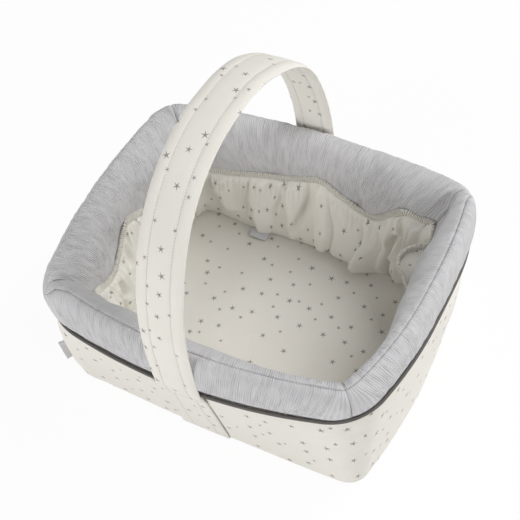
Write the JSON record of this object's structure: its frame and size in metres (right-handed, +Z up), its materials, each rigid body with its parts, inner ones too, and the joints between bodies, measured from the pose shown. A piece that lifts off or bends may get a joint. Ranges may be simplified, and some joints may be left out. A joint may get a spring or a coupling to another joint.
{
  "type": "layette basket",
  "caption": "Soft padded nursery basket for small layette items, with a bowed padded rim, a gathered fitted liner over a base pad and a wide fabric carrying handle that folds to either end.",
  "frame": {"origin": "on the floor, at the middle of the base", "axes": "+X along the long sides, +Y towards the back, +Z up"},
  "size_m": [0.3964, 0.3314, 0.355],
  "materials": {
    "star_cotton": "matte printed cotton",
    "grey_crepe": "matte crinkled crepe",
    "dark_piping": "smooth bias-cut cloth",
    "wadding": "soft polyester wadding",
    "board": "plain stiff board",
    "tape": "woven tape"
  },
  "bodies": {
    "basket": {"base_cloth": "star_cotton", "base_board": "board", "base_pad": "wadding", "outer_skirt": "star_cotton", "skirt_wadding_front": "wadding", "skirt_wadding_right": "wadding", "skirt_wadding_back": "wadding", "skirt_wadding_left": "wadding", "wall_board_front": "board", "wall_board_right": "board", "wall_board_back": "board", "wall_board_left": "board", "rim_outer_front": "grey_crepe", "rim_outer_right": "grey_crepe", "rim_outer_back": "grey_crepe", "rim_outer_left": "grey_crepe", "rim_inner_front": "grey_crepe", "rim_inner_right": "grey_crepe", "rim_inner_back": "grey_crepe", "rim_inner_left": "grey_crepe", "rim_wadding_front": "wadding", "rim_wadding_right": "wadding", "rim_wadding_back": "wadding", "rim_wadding_left": "wadding", "piping": "dark_piping", "liner_floor": "star_cotton", "liner_side": "star_cotton", "liner_elastic": "star_cotton", "handle_tail_front": "star_cotton", "handle_tail_back": "star_cotton", "side_tag": "tape", "care_tag": "tape"},
    "handle": {"handle_cover": "star_cotton", "handle_foam": "wadding", "handle_webbing": "tape"}
  },
  "joints": [
    {"name": "handle_fold", "type": "hinge", "parent": "basket", "child": "handle", "pos_m": [0, 0, 0.12], "axis": [0, 1, 0], "range_deg": [-58, 58]}
  ]
}
